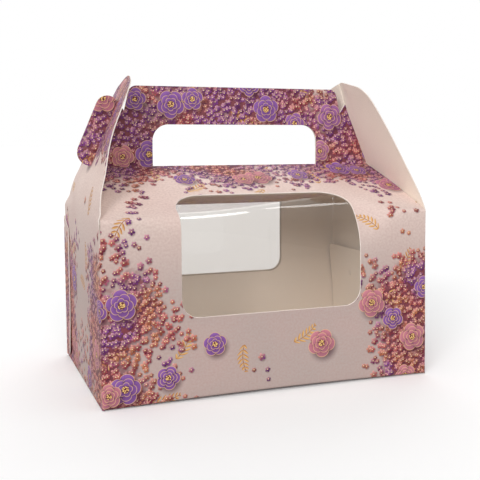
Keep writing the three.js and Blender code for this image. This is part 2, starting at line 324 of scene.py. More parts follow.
def plenty(tree, at):
    """How full the design is at a place."""
    axis = wire(tree, "SeparateXYZ", at)
    crown = wire(tree, "MapRange", axis.outputs["Y"], CROWN_FOOT, CROWN_FULL, **SOFT)
    repeat = LENGTH + DEPTH
    around = wire(tree, "Math", axis.outputs["X"], repeat / 2, -repeat / 2, operation="WRAP")
    aside = wire(tree, "Math", around, operation="ABSOLUTE")
    near = wire(tree, "MapRange", aside, BED_START, BED_FULL, **SOFT)
    past = wire(tree, "MapRange", aside, repeat / 2 + BED_OVERLAP, BED_PAST, **SOFT)
    corner = wire(tree, "Math", near, past, operation="MULTIPLY")
    low = wire(tree, "MapRange", axis.outputs["Y"], BED_TOP, BED_DEEP, **SOFT)
    bed = wire(tree, "Math", corner, low, operation="MULTIPLY")
    full = wire(tree, "Math", bed, crown, operation="MAXIMUM")
    drift = wire(tree, "TexNoise", noise_dimensions="2D",
                 named={"Vector": at, "Scale": 1 / DRIFT, "Detail": 1.0})
    thinned = wire(tree, "Math", full, THINNING, operation="SUBTRACT")
    return wire(tree, "Math", drift, DRIFT_WEIGHT, thinned, operation="MULTIPLY_ADD")


def petals(tree, place, turn, reach, notch, point):
    """Flower outline: the depth inside it in mm, the share of the way out, the nearness to a
    petal's middle, and the radius."""
    split = wire(tree, "SeparateXYZ", place)
    angle = wire(tree, "Math", split.outputs["Y"], split.outputs["X"], operation="ARCTAN2")
    swing = wire(tree, "Math", angle, PETAL_COUNT / 2, operation="MULTIPLY")
    turned = wire(tree, "Math", turn, math.pi, swing, operation="MULTIPLY_ADD")
    lobe = wire(tree, "Math", wire(tree, "Math", turned, operation="COSINE"), operation="ABSOLUTE")
    full = wire(tree, "Math", lobe, point, operation="POWER")
    edge = wire(tree, "Math", full, reach * notch, reach * (1 - notch), operation="MULTIPLY_ADD")
    radius = wire(tree, "VectorMath", place, operation="LENGTH").outputs["Value"]
    depth = wire(tree, "Math", edge, radius, operation="SUBTRACT")
    share = wire(tree, "Math", radius, edge, operation="DIVIDE")
    return depth, share, lobe, radius


# Offset print on white boxboard under a satin varnish: a low, even sheen over a painted floral
# design. Its grain and the fibres of the board are finer than a pixel, so here and on the bare
# board they are drawn about a millimetre wide, as coarse as they need to be to show.
def printed_boxboard():
    material, tree, shader = new_finish("offset_printed_boxboard")
    spot = wire(tree, "UVMap", uv_map="printed_sheet")
    sheet = wire(tree, "SeparateXYZ", spot)

    # Dusty pink ground, darker at the foot and paler up the roof as painted light, with the slight
    # clouding of a wash and a fine grain
    painted_roof_light = wire(tree, "MapRange", sheet.outputs["Y"], 50, 130, **SOFT)
    colour = wire(tree, "MixRGB", painted_roof_light, ink("#afa09a"), ink("#e4d0c6"))
    for size, detail, full, most, code in (
        (WASH_CLOUD, 3.0, 0.75, 0.4, "#c4a29b"),
        (PRINT_GRAIN, 2.0, 0.7, 0.3, "#a98782"),
    ):
        blotch = wire(tree, "TexNoise", named={"Vector": spot, "Scale": 1 / size, "Detail": detail})
        tinted = wire(tree, "MapRange", blotch, 0.35, full, 0.0, most)
        colour = wire(tree, "MixRGB", tinted, colour, ink(code))

    # Dark wash behind the full parts of the design, and patches of violet, more of it higher up, of
    # rose and of copper in its flowers
    mottle = wire(tree, "TexNoise", named={"Vector": spot, "Scale": 1 / WASH_MOTTLE, "Detail": 3.0})
    fullness = wire(tree, "Math", plenty(tree, spot), 0.4, operation="SUBTRACT")
    deep = wire(tree, "Math", mottle, 0.4, fullness, operation="MULTIPLY_ADD")
    under = wire(tree, "MixRGB", mottle, ink("#381222"), ink("#8f3f4c"))
    washed = wire(tree, "MapRange", deep, 0.3, 0.75, 0.0, 0.95, **SOFT)
    colour = wire(tree, "MixRGB", washed, colour, under)
    climb = wire(tree, "MapRange", sheet.outputs["Y"], 40, 190, 0.05, -0.06)
    shares = []
    for size, low, high, most in ((ROSE_PATCH, 0.46, 0.58, 1.0), (COPPER_PATCH, 0.5, 0.64, 0.85)):
        patch = wire(tree, "TexNoise", named={"Vector": spot, "Scale": 1 / size, "Detail": 1.0})
        climbed = wire(tree, "Math", patch, climb, operation="ADD")
        shares.append(wire(tree, "MapRange", climbed, low, high, 0.0, most, **SOFT))
    rosy, coppery = shares

    def lay(below, motif, within, show):
        """Prints a motif over what lies below it."""
        mask = wire(tree, "Math", within, show, operation="MULTIPLY")
        return wire(tree, "MixRGB", mask, below, motif)

    def shade_under(below, flower, reach, strength, show):
        """The painted shadow of a flower on what lies below it."""
        low = wire(tree, "VectorMath", flower, (-0.14 * reach, 0.24 * reach, 0), operation="ADD")
        far = wire(tree, "VectorMath", low, operation="LENGTH").outputs["Value"]
        shadow = wire(tree, "MapRange", far, reach, reach * 0.45, 0.0, strength, **SOFT)
        return lay(below, ink("#4a2433"), shadow, show)

    def lit(flower, reach, dark, light):
        """A share that runs from dark at a flower's lower right to light at its upper left."""
        towards = (-0.5 / reach, 0.8 / reach, 0)
        facing = wire(tree, "VectorMath", flower, towards, operation="DOT_PRODUCT")
        return wire(tree, "MapRange", facing.outputs["Value"], -0.8, 0.8, dark, light)

    # Sprigs of gold: a bowed stem with lens-shaped leaves in pairs, shorter towards both ends
    sprig, home, chance = scatter(tree, spot, SPRIG_PITCH, 0.5)
    odds = wire(tree, "Math", plenty(tree, home), 0.35, 0.5, operation="MULTIPLY_ADD")
    show = wire(tree, "Math", odds, chance[0], operation="GREATER_THAN")
    heading = wire(tree, "Math", chance[1], math.tau, operation="MULTIPLY")
    turned = wire(tree, "VectorRotate", rotation_type="Z_AXIS",
                  named={"Vector": sprig, "Angle": heading})
    axis = wire(tree, "SeparateXYZ", turned)
    along = wire(tree, "Math", axis.outputs["Y"], 1 / SPRIG_HALF, operation="MULTIPLY")
    square = wire(tree, "Math", along, along, operation="MULTIPLY")
    side = wire(tree, "Math", square, SPRIG_BOW, axis.outputs["X"], operation="MULTIPLY_ADD")
    out = wire(tree, "Math", side, operation="ABSOLUTE")
    reach = wire(tree, "MapRange", square, 0.0, 1.0, LEAF_LONG, LEAF_SHORT)
    reached = wire(tree, "Math", out, reach, operation="DIVIDE")
    share = wire(tree, "Math", reached, 2.0, -1.0, operation="MULTIPLY_ADD")
    narrowed = wire(tree, "Math", share, share, operation="MULTIPLY")
    belly = wire(tree, "Math", narrowed, -LEAF_HALF, LEAF_HALF, operation="MULTIPLY_ADD")
    rank = wire(tree, "Math", out, -LEAF_RAKE, axis.outputs["Y"], operation="MULTIPLY_ADD")
    across = wire(tree, "Math", rank, LEAF_GAP / 2, -LEAF_GAP / 2, operation="WRAP")
    off_rib = wire(tree, "Math", across, operation="ABSOLUTE")
    depth = wire(tree, "Math", belly, off_rib, operation="SUBTRACT")
    ends = wire(tree, "MapRange", square, 1.0, 0.92)
    leaves = wire(tree, "Math", wire(tree, "MapRange", depth, 0.0, 0.2), ends, operation="MULTIPLY")
    stem = wire(tree, "Math", wire(tree, "MapRange", out, 0.36, 0.16), ends, operation="MULTIPLY")
    growth = wire(tree, "Math", leaves, stem, operation="MAXIMUM")
    gold = wire(tree, "MixRGB", chance[2], ink("#a8683f"), ink("#c9944e"))
    bright_half = wire(tree, "MapRange", across, -0.1, 0.1, 0.0, 0.5)
    gold = wire(tree, "MixRGB", bright_half, gold, ink("#ecc98a"))
    dark_rim = wire(tree, "MapRange", depth, 0.3, 0.1, 0.0, 0.5)
    gold = wire(tree, "MixRGB", dark_rim, gold, ink("#6b3a2a"))
    colour = lay(colour, gold, growth, show)

    # Small star-shaped florets, crowded together where the design is full
    for size, slant in ((2.6, 0.35), (2.2, 1.1), (1.9, 1.9), (1.6, 2.6)):
        floret, home, chance = scatter(tree, spot, 2.8 * size, slant)
        odds = wire(tree, "Math", plenty(tree, home), 1.7, -0.35, operation="MULTIPLY_ADD")
        show = wire(tree, "Math", odds, chance[0], operation="GREATER_THAN")
        colour = shade_under(colour, floret, size * 1.12, 0.6, show)
        depth, share, _, radius = petals(tree, floret, chance[1], size, 0.55, 0.8)
        violet = wire(tree, "MixRGB", chance[2], ink("#4d1858"), ink("#91509c"))
        rose = wire(tree, "MixRGB", chance[2], ink("#781f2c"), ink("#c9665c"))
        copper = wire(tree, "MixRGB", chance[2], ink("#7a321a"), ink("#d0844c"))
        tone = wire(tree, "MixRGB", rosy, violet, rose)
        tone = wire(tree, "MixRGB", coppery, tone, copper)
        throat = wire(tree, "MapRange", share, 0.55, 0.1, 0.0, 0.8)
        tone = wire(tree, "MixRGB", throat, tone, ink("#43162f"))
        tone = wire(tree, "MixRGB", lit(floret, size, 0.45, 0.0), tone, ink("#4d1d38"))
        tone = wire(tree, "MixRGB", lit(floret, size, -0.3, 0.55), tone, ink("#f3bcb4"))
        eye = wire(tree, "MapRange", radius, 0.42, 0.24)
        tone = wire(tree, "MixRGB", eye, tone, ink("#f0d2a0"))
        colour = lay(colour, tone, wire(tree, "MapRange", depth, 0.0, 0.22), show)

    # Open blossoms: rings of five broad petals with gilt rims, and a heart of gold stamens
    dots = wire(tree, "TexVoronoi", voronoi_dimensions="2D",
                named={"Vector": spot, "Scale": 1 / STAMEN})
    for size, slant, favour in ((9.0, 0.8, 0.75), (7.2, 2.3, 0.6)):
        bloom, home, chance = scatter(tree, spot, 4 * size, slant)
        odds = wire(tree, "Math", plenty(tree, home), favour, operation="MULTIPLY")
        show = wire(tree, "Math", odds, chance[0], operation="GREATER_THAN")
        colour = shade_under(colour, bloom, size * 1.2, 0.75, show)
        whorls = ((1.0, 0.24, chance[1]), (0.74, 0.26, chance[2]), (0.48, 0.3, chance[1]))
        for part, notch, turn in whorls:
            depth, share, lobe, radius = petals(tree, bloom, turn, size * part, notch, 0.6)
            violet = wire(tree, "MixRGB", share, ink("#3a1750"), ink("#9263a8"))
            rose = wire(tree, "MixRGB", share, ink("#742842"), ink("#cc8590"))
            petal = wire(tree, "MixRGB", wire(tree, "MapRange", chance[2], 0.45, 0.6), violet, rose)
            cleft = wire(tree, "MapRange", lobe, 0.55, 0.0, 0.0, 0.75)
            petal = wire(tree, "MixRGB", cleft, petal, ink("#38163f"))
            ribs = wire(tree, "Math", lobe, 5.0, operation="MULTIPLY")
            comb = wire(tree, "Math", ribs, operation="FRACT")
            furrow = wire(tree, "MapRange", comb, 0.3, 0.0, 0.0, 0.4)
            vein = wire(tree, "Math", furrow, share, operation="MULTIPLY")
            petal = wire(tree, "MixRGB", vein, petal, ink("#3f1c4c"))
            petal = wire(tree, "MixRGB", lit(bloom, size * part, 0.35, 0.0), petal, ink("#3f1a43"))
            gilt = wire(tree, "MapRange", depth, 0.6, 0.25, 0.0, 0.85)
            petal = wire(tree, "MixRGB", gilt, petal, ink("#dcb183"))
            colour = lay(colour, petal, wire(tree, "MapRange", depth, 0.0, 0.25), show)
        heart = wire(tree, "MixRGB", wire(tree, "MapRange", dots, 0.2, 0.55),
                     ink("#efc67c"), ink("#5e2b33"))
        middle = wire(tree, "MapRange", radius, size * 0.25, size * 0.21)
        colour = lay(colour, heart, middle, show)

    tree.links.new(colour.outputs[0], shader.inputs["Base Color"])
    shader.inputs["Roughness"].default_value = 0.5
    shader.inputs["Specular IOR Level"].default_value = 0.12
    fibre = wire(tree, "TexNoise", named={"Vector": spot, "Scale": 1 / 0.9, "Detail": 3.0})
    bump = wire(tree, "Bump", named={"Height": fibre, "Strength": 0.12, "Distance": 0.00006})
    tree.links.new(bump.outputs[0], shader.inputs["Normal"])
    return material


# Uncoated inner face of the board: matt, warm white, faintly clouded by its fibres.
def bare_boxboard():
    material, tree, shader = new_finish("uncoated_boxboard")
    spot = wire(tree, "UVMap", uv_map="printed_sheet")
    cloud = wire(tree, "TexNoise", named={"Vector": spot, "Scale": 1 / 30, "Detail": 4.0})
    fibre = wire(tree, "TexNoise", named={"Vector": spot, "Scale": 1 / 0.8, "Detail": 3.0})
    colour = wire(tree, "MixRGB", cloud, ink("#f2e4d5"), ink("#f7ebdd"))
    flecked = wire(tree, "MapRange", fibre, 0.35, 0.7, 0.0, 0.12)
    colour = wire(tree, "MixRGB", flecked, colour, ink("#c9b7ae"))
    tree.links.new(colour.outputs[0], shader.inputs["Base Color"])
    shader.inputs["Roughness"].default_value = 0.8
    bump = wire(tree, "Bump", named={"Height": fibre, "Strength": 0.2, "Distance": 0.00008})
    tree.links.new(bump.outputs[0], shader.inputs["Normal"])
    return material


# Die-cut edge: the white middle of the board, with fine fibres along the cut.
def cut_boxboard():
    material, tree, shader = new_finish("die_cut_boxboard_edge")
    spot = wire(tree, "UVMap", uv_map="printed_sheet")
    fibre = wire(tree, "TexNoise", named={"Vector": spot, "Scale": 1 / 0.7, "Detail": 3.0})
    colour = wire(tree, "MixRGB", fibre, ink("#d3c5bc"), ink("#e6dcd5"))
    tree.links.new(colour.outputs[0], shader.inputs["Base Color"])
    shader.inputs["Roughness"].default_value = 0.85
    return material


uncoated, cut_edge = bare_boxboard(), cut_boxboard()
PRINTED = [printed_boxboard(), uncoated, cut_edge]

flat_end = LENGTH / 2 - CORNER_RADIUS
slit_end = LENGTH / 2 - SLIT_INSET
wall_outline = both_halves([
    (flat_end, -FOOT_STUB),
    (flat_end, EAVES_SPLIT),
    (WINDOW_HALF, EAVES_SPLIT),
    (WINDOW_HALF, WINDOW_SILL, WINDOW_RADIUS),
])
long_columns = lines(-96, 96, 12)
wall_rows = [*lines(-FOOT_RADIUS, FOOT_RADIUS, 0.45), *lines(6, 72, 11)]
wall_sheet = cut_sheet([round_corners(wall_outline)], long_columns, wall_rows)


def by_window(u, v):
    return abs(u) < WINDOW_HALF + AT_EDGE and abs(v - WALL) < WALL - WINDOW_SILL + AT_EDGE


front_wall = fold_board(
    "front_wall_board", wall_sheet, front_place, front_spot, PRINTED, bared=by_window)
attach(front_wall, "box")
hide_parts("front_panel")


# End walls
# Plain panels of the same board between the front and the back, creased round the corners.
# A short slit frees the top of each corner, where the ear leaves the wall.

EAR_SPLIT = 100.0
SLIT_GAP = 0.6
CLEARANCE = 0.3
end_half = DEPTH / 2 - BOARD - CLEARANCE


def end_path(u, far_turn):
    """Plan of an end wall, (out, along), from the front corner to the back corner."""
    half, quarter = DEPTH / 2, math.pi / 2
    near_corner, far_corner = Vector((0, -half)), Vector((0, half))
    outward, along = Vector((1, 0)), Vector((0, 1))
    if u <= -half - CORNER_RADIUS:
        return Vector((u + half, -half))
    if far_turn and u >= half + CORNER_RADIUS:
        return Vector((half - u, half))
    if abs(u + half) < CORNER_RADIUS:
        return crease(u + half, CORNER_RADIUS, quarter, near_corner, outward, along)
    if far_turn and abs(u - half) < CORNER_RADIUS:
        return crease(u - half, CORNER_RADIUS, quarter, far_corner, along, -outward)
    return Vector((0, u))


def right_place(u, v):
    out, along = end_path(u, True)
    x = LENGTH / 2 + out
    return x + flare(x, v), along, v


def right_spot(u, v):
    return LENGTH / 2 + DEPTH / 2 + u, v


def left_place(u, v):
    out, along = end_path(-u, False)
    return -LENGTH / 2 - out, along, v


def left_spot(u, v):
    return u - LENGTH / 2 - DEPTH / 2, v


turn_end = DEPTH / 2 + CORNER_RADIUS
slit_half = DEPTH / 2 - SLIT_GAP
front_edge = [
    (turn_end, 0), (turn_end, CORNER_SLIT), (slit_half, CORNER_SLIT), (slit_half, EAR_SPLIT)]
right_outline = both_halves(front_edge)
left_outline = [*front_edge, (-end_half, EAR_SPLIT), (-end_half, 0)]
corner_lines = lines(-CORNER_RADIUS, CORNER_RADIUS, 0.4)
end_columns = [
    *(c - DEPTH / 2 for c in corner_lines),
    *lines(-54, 54, 12),
    *(c + DEPTH / 2 for c in corner_lines),
]
for name, node, outline, place, spot in (
    ("right_end_board", "right_side_panel", right_outline, right_place, right_spot),
    ("left_end_board", "left_side_panel", left_outline, left_place, left_spot),
):
    sheet = cut_sheet([round_corners(outline)], end_columns, lines(6, 94, 12))
    end_wall = fold_board(name, sheet, place, spot, PRINTED)
    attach(end_wall, "box")
    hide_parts(node)


# Back wall
# A panel like the front, but its window is closed all round and stops short of the eaves.
# It is creased to the right end wall, and glued to the left one by the seam flap.

BACK_HALF, BACK_SILL, BACK_HEAD, BACK_RADIUS = 56.0, 50.0, 99.8, 9.0
BACK_SPLIT = 100.4
SEAM_FACE = 0.9


def back_place(u, v):
    y, z = strip_path(v, EAVES_RADIUS_END)
    return flare(-u, v) - u, -y, z


def back_spot(u, v):
    return u + LENGTH + DEPTH, v


seam_corner = LENGTH / 2 + SEAM_FACE
back_outline = [
    (-flat_end, 0),
    (seam_corner - CORNER_RADIUS, 0),
    (seam_corner - CORNER_RADIUS, CORNER_SLIT),
    (slit_end, CORNER_SLIT),
    (slit_end, BACK_SPLIT),
    (-slit_end, BACK_SPLIT),
    (-slit_end, CORNER_SLIT),
    (-flat_end, CORNER_SLIT),
]
back_window = both_halves([(BACK_HALF, BACK_SILL, BACK_RADIUS), (BACK_HALF, BACK_HEAD)])
back_sheet = cut_sheet(
    [round_corners(back_outline), round_corners(back_window)], long_columns, lines(6, 96, 12))


def by_back_window(u, v):
    return abs(u) < BACK_HALF + AT_EDGE and BACK_SILL - AT_EDGE < v < BACK_HEAD + AT_EDGE


back_wall = fold_board(
    "back_wall_board", back_sheet, back_place, back_spot, PRINTED, bared=by_back_window)
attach(back_wall, "box")
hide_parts("back_panel")


# Seam flap
# The left end of the back turns round the corner into a glue flap on the outside of the end wall.
# The glue line stops above the foot, so the flap has sprung open a little there.

SEAM_WIDTH, SEAM_TAPER, SEAM_FOOT, SEAM_RADIUS = 17.0, 7.0, 4.5, 4.0
SEAM_SPRING, SEAM_GLUE_FOOT, SEAM_STIFF = 0.8, 42.0, 2.0
SEAM_REST = 0.5


def seam_place(u, v):
    """u runs from the back corner forward along the end wall."""
    spring = SEAM_SPRING * smooth(v, SEAM_GLUE_FOOT, 0) * smooth(u, SEAM_STIFF, SEAM_WIDTH)
    across, along = (u, 0) if u < 0 else (0, u)
    if abs(u) < CORNER_RADIUS:
        across, along = crease(
            u, CORNER_RADIUS, math.pi / 2, Vector((0, 0)), Vector((1, 0)), Vector((0, 1)))
    return -seam_corner - across - spring, DEPTH / 2 - along, v


def seam_spot(u, v):
    return back_spot(seam_corner, v)[0] + u, v


seam_end = DEPTH / 2 - end_half + SEAM_WIDTH
seam_outline = [
    (-CORNER_RADIUS, SEAM_REST),
    (seam_end, SEAM_FOOT, SEAM_RADIUS),
    (seam_end, WALL - 2 * SEAM_TAPER),
    (0, WALL - SEAM_TAPER),
    (0, CORNER_SLIT),
    (-CORNER_RADIUS, CORNER_SLIT),
]
seam_columns = [*corner_lines, *lines(3, 16, 2)]
seam_sheet = cut_sheet([round_corners(seam_outline)], seam_columns, lines(3, 92, 5))
seam_flap = fold_board("seam_flap_board", seam_sheet, seam_place, seam_spot, PRINTED)
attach(seam_flap, "box")
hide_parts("seam_flap")


# Base and its flaps
# The base goes on from the foot of the front. A wing stands up inside each end wall, and a tuck
# flap inside the back. The wings lean in a little at the top, and the die left a locking cut in
# them.

FLAP_STUB = 2.0
FLAP_RADIUS = 1.0
WING_TOP, WING_RADIUS = 67.5, 3.0
WING_SPRING, WING_STIFF = 2.6, 20.0
TUCK_TOP, TUCK_RADIUS = 16.0, 8.0
LOCK_ALONG, LOCK_LOW, LOCK_HIGH, LOCK_WIDTH = 30.0, 47.6, 51.2, 0.9
PLAIN = [uncoated, uncoated, cut_edge]

wing_face = LENGTH / 2 - BOARD - CLEARANCE
tuck_face = DEPTH / 2 - BOARD - CLEARANCE
base_edge = wing_face - FLAP_STUB
base_outline = both_halves(
    [(base_edge, -DEPTH / 2 - tuck_face + FLAP_STUB), (base_edge, -FOOT_STUB)])
base_sheet = cut_sheet([round_corners(base_outline)], long_columns, lines(-118, -6, 8))
base = fold_board("base_board", base_sheet, front_place, front_spot, PRINTED)
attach(base, "box")
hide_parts("base_panel")


def flap_path(v, face):
    """(out, up) of a flap that turns up from the base at a distance from the middle."""
    if abs(v) < FLAP_RADIUS:
        foot = Vector((face, 0))
        return crease(v, FLAP_RADIUS, math.pi / 2, foot, Vector((1, 0)), Vector((0, 1)))
    return Vector((face, v)) if v > 0 else Vector((face + v, 0))


def wing_path(v):
    """(out, up) of a wing, which springs in above its stiff foot."""
    return flap_path(v, wing_face - WING_SPRING * smooth(v, WING_STIFF, WING_TOP))


def right_wing_place(u, v):
    out, up = wing_path(v)
    return out + flare(out, up), u, up


def left_wing_place(u, v):
    out, up = wing_path(v)
    return -out, -u, up


def tuck_place(u, v):
    out, up = flap_path(v, tuck_face)
    return flare(-u, up) - u, out, up


wing_half = end_half - BOARD - CLEARANCE
tuck_half = wing_face - BOARD - CLEARANCE
wing_outline = both_halves([(wing_half, -FLAP_STUB), (wing_half, WING_TOP, WING_RADIUS)])
tuck_outline = both_halves([(tuck_half, -FLAP_STUB), (tuck_half, TUCK_TOP, TUCK_RADIUS)])
flap_rows = [*lines(-FLAP_RADIUS, FLAP_RADIUS, 0.4), *lines(6, 62, 8)]
for name, node, outline, place, lock in (
    ("right_wing_board", "right_base_wing", wing_outline, right_wing_place, LOCK_ALONG),
    ("left_wing_board", "left_base_wing", wing_outline, left_wing_place, -LOCK_ALONG),
    ("tuck_flap_board", "base_tuck_flap", tuck_outline, tuck_place, None),
):
    rings = [round_corners(outline)]
    if lock is not None:
        near, far = lock - LOCK_WIDTH / 2, lock + LOCK_WIDTH / 2
        rings.append(round_corners(
            [(near, LOCK_LOW), (far, LOCK_LOW), (far, LOCK_HIGH), (near, LOCK_HIGH)]))
    flap = fold_board(name, cut_sheet(rings, long_columns, flap_rows), place, front_spot, PLAIN)
    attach(flap, "box")
    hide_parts(node)


# Roofs
# Each roof goes on from its wall over the eaves crease and rises to the ridge. Their slanting ends
# follow the bend of the ears. The front one carries the upper part of the window.

EAR_LEAN = math.radians(23.5)
EAR_BEND = 54.5
EAR_CUP_ALONG = (22.0, 56.0)
EAR_CUP_FRONT, EAR_CUP_BACK = (1.1, 4.0, 38.0, 54.0), (2.3, 8.0, 22.0, 38.0)
HOLE_HALF = 55.0
RIDGE_STUB = 1.4
WINDOW_HEAD_RADIUS = 18.0


def ear_face(rise, depth=0.0):
    """Half the distance between the ears, at a height over the walls and a depth into the board."""
    radius = EAR_BEND - depth
    centre = LENGTH / 2 - EAR_BEND
    bend_top = radius * math.sin(EAR_LEAN)
    if rise <= bend_top:
        return centre + math.sqrt(radius ** 2 - max(rise, 0.0) ** 2)
    return centre + radius * math.cos(EAR_LEAN) - (rise - bend_top) * math.tan(EAR_LEAN)


def ear_cup(forward, rise):
    """How far the sprung edges of the left ear lean in over the gable, less at the front but higher
    up. An edge has its depth, the rise where it is full, and those where it fades and is gone."""
    depth, full, fading, gone = EAR_CUP_FRONT if forward > 0 else EAR_CUP_BACK
    edge = smooth(abs(forward), *EAR_CUP_ALONG)
    return depth * edge * smooth(rise, 0, full) * smooth(rise, gone, fading)


def roof_end(v, side=0):
    """Half the length of a roof, just clear of the ear, v up the strip. The side is 0 at the right
    end, and at the left end 1 on the front and -1 on the back."""
    rise = (v - WALL) * math.sin(roof_slope)
    across = DEPTH / 2 - (v - WALL) * math.cos(roof_slope)
    cup = abs(side) * ear_cup(side * across, rise)
    return min(slit_end, ear_face(rise, BOARD) - CLEARANCE - cup)


ridge_split = ridge - RIDGE_STUB
roof_top = [(HOLE_HALF, ridge_split), (HOLE_HALF, ridge - CLEARANCE / 2)]
roof_window = [
    (WINDOW_HALF, WALL + WINDOW_REACH, WINDOW_HEAD_RADIUS), (WINDOW_HALF, EAVES_SPLIT)]
front_foot = [(flat_end, EAVES_SPLIT), (flat_end, CORNER_SLIT), (slit_end, CORNER_SLIT)]
front_rises = lines(WALL - 1, ridge_split, 4)
back_rises = [BACK_SPLIT, *lines(WALL, ridge_split, 4)]
front_right, front_left = (
    [*roof_window, *front_foot, *((roof_end(v, side), v) for v in front_rises), *roof_top]
    for side in (0, 1))
back_right, back_left = (
    [*((roof_end(v, side), v) for v in back_rises), *roof_top] for side in (0, -1))
roof_columns = lines(-98, 98, 7)
eaves_rows = [*lines(WALL - 3, WALL + 3, 0.6), *lines(WALL + 4, WALL + 26, 2.5)]
slope_rows = lines(WALL + 32, ridge_split - 3, 8)
for name, node, lid, outline, place, spot, split, facing, bared in (
    ("front_roof_board", "front_roof", "front_lid", both_halves(front_right, front_left),
     front_place, front_spot, EAVES_SPLIT, 1, by_window),
    ("back_roof_board", "back_roof", "back_lid", both_halves(back_left, back_right),
     back_place, back_spot, BACK_SPLIT, -1, None),
):
    rows = [*lines(split, WALL - 4, 4), *eaves_rows, *slope_rows]
    sheet = cut_sheet([round_corners(outline)], roof_columns, rows)
    roof = fold_board(name, sheet, place, spot, PRINTED, bared=bared)
    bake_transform(roof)
    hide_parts(node)


# Handles and their tabs
# The two strips meet at the ridge and stand up back to back, cut out for the hand. Each end is
# notched and runs on into a hooked tab, which passes through the slit in the ear.

HANDLE_RISE, GRIP_HALF, GRIP_RADIUS = 48.5, 68.5, 5.0
HOLE_RISE, HOLE_RADIUS = 25.3, 10.0
NOTCH_HALF, NOTCH_RISE = 72.2, 33.2
TAB_REACH, TAB_FOOT, TAB_FOOT_RADIUS = 11.0, 0.6, 8.0
HOOK_SLOPE, HOOK_RADIUS = math.tan(math.radians(55)), 7.0

lean = math.tan(EAR_LEAN)


def hook_corner(reach_at_ridge):
    """Where the hook's upper edge meets a line that leans with the ear."""
    along = (reach_at_ridge - NOTCH_RISE * lean - NOTCH_HALF) / (1 + HOOK_SLOPE * lean)
    return NOTCH_HALF + along, NOTCH_RISE + along * HOOK_SLOPE


tab_inner = ear_face(RIDGE_RISE, BOARD)
tab_outer = ear_face(RIDGE_RISE) + TAB_REACH / math.cos(EAR_LEAN)
hook_x, hook_rise = hook_corner(tab_outer)
handle_outline = both_halves([
    (HOLE_HALF, ridge + HOLE_RISE, HOLE_RADIUS),
    (HOLE_HALF, ridge_split),
    (roof_end(ridge_split), ridge_split),
    (tab_inner - CLEARANCE, ridge),
    (tab_inner - CLEARANCE - TAB_FOOT * lean, ridge + TAB_FOOT),
    (tab_outer - TAB_FOOT * lean, ridge + TAB_FOOT, TAB_FOOT_RADIUS),
    (hook_x, ridge + hook_rise, HOOK_RADIUS),
    (NOTCH_HALF, ridge + NOTCH_RISE),
    (GRIP_HALF, ridge + HANDLE_RISE, GRIP_RADIUS),
])
handle_rows = [*lines(ridge_split, ridge + RIDGE_STUB, 0.2), *lines(ridge + 6, ridge + 45, 8)]
handle_sheet = cut_sheet([round_corners(handle_outline)], lines(-98, 98, 8), handle_rows)
for name, nodes, lid, grip, place, spot, facing in (
    ("front_handle_board", ("front_handle", "front_left_tab", "front_right_tab"),
     "front_lid", "front_grip", front_place, front_spot, 1),
    ("back_handle_board", ("back_handle", "back_left_tab", "back_right_tab"),
     "back_lid", "back_grip", back_place, back_spot, -1),
):
    handle = fold_board(name, handle_sheet, place, spot, PRINTED)
    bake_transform(handle)
    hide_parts(*nodes)


# Ears
# Each end wall goes on into an ear, which bends inward over the gable end and is held by the tabs
# of the handles through its slit. The left one has sprung a little askew. The right one is pushed
# out above the slit, bows at its front edge and droops at its tip.

EAR_WAIST, EAR_WAIST_RISE, EAR_WAIST_RADIUS = 52.3, 17.0, 45.0
EAR_SHOULDER, EAR_SHOULDER_RISE, EAR_SHOULDER_RADIUS = 33.0, 75.0, 16.0
EAR_TIP_RISE, EAR_TIP_RADIUS = 82.8, 60.0
EAR_TWIST_FRONT, EAR_TWIST_BACK, EAR_TWIST_RISES = 0.083, 0.065, (18.0, 45.0)
EAR_PUSH, EAR_PUSH_FRONT, EAR_PUSH_BACK = 3.2, 11.0, 45.0
EAR_PUSH_CREST, EAR_PUSH_BELOW = 1.2, 8.0
EAR_BULGE, EAR_BULGE_ALONG, EAR_BULGE_RISES, EAR_BULGE_FADE = 1.3, 30.0, (12.0, 50.0), 55.0
EAR_DROOP, EAR_DROOP_BACK, EAR_DROOP_ALONG, EAR_DROOP_FOOT = 1.0, 2.2, (-6.0, 14.0), 60.0

slit_low = RIDGE_RISE + TAB_FOOT - CLEARANCE
slit_high = RIDGE_RISE + hook_corner(ear_face(RIDGE_RISE))[1] + CLEARANCE
slit_side = BOARD + CLEARANCE * 1.5


def ear_push(u, rise):
    """How far the ear stands out above its slit: most in the middle, less towards the front."""
    aside = math.hypot(u, EAR_PUSH_CREST) / (EAR_PUSH_FRONT if u < 0 else EAR_PUSH_BACK)
    return EAR_PUSH * smooth(rise, slit_high - EAR_PUSH_BELOW, EAR_TIP_RISE) * max(0.0, 1 - aside)


def right_ear_place(u, rise):
    bulge = EAR_BULGE * smooth(-u, 0, EAR_BULGE_ALONG) * smooth(rise, *EAR_BULGE_RISES)
    bulge *= smooth(rise, EAR_TIP_RISE, EAR_BULGE_FADE)
    droop = EAR_DROOP + EAR_DROOP_BACK * smooth(u, *EAR_DROOP_ALONG)
    droop *= smooth(rise, EAR_DROOP_FOOT, EAR_TIP_RISE)
    return ear_face(rise) + ear_push(u, rise) + bulge, u, WALL + rise - droop


def left_ear_place(u, rise):
    twist = (EAR_TWIST_FRONT if u > 0 else EAR_TWIST_BACK) * u * smooth(rise, *EAR_TWIST_RISES)
    return ear_cup(u, rise) - ear_face(rise) - twist, -u, WALL + rise


def ear_length(rise):
    """Length of board from the crease up to a height over the walls."""
    bend_top = EAR_BEND * math.sin(EAR_LEAN)
    if rise <= bend_top:
        return EAR_BEND * math.asin(rise / EAR_BEND)
    return EAR_BEND * EAR_LEAN + (rise - bend_top) / math.cos(EAR_LEAN)


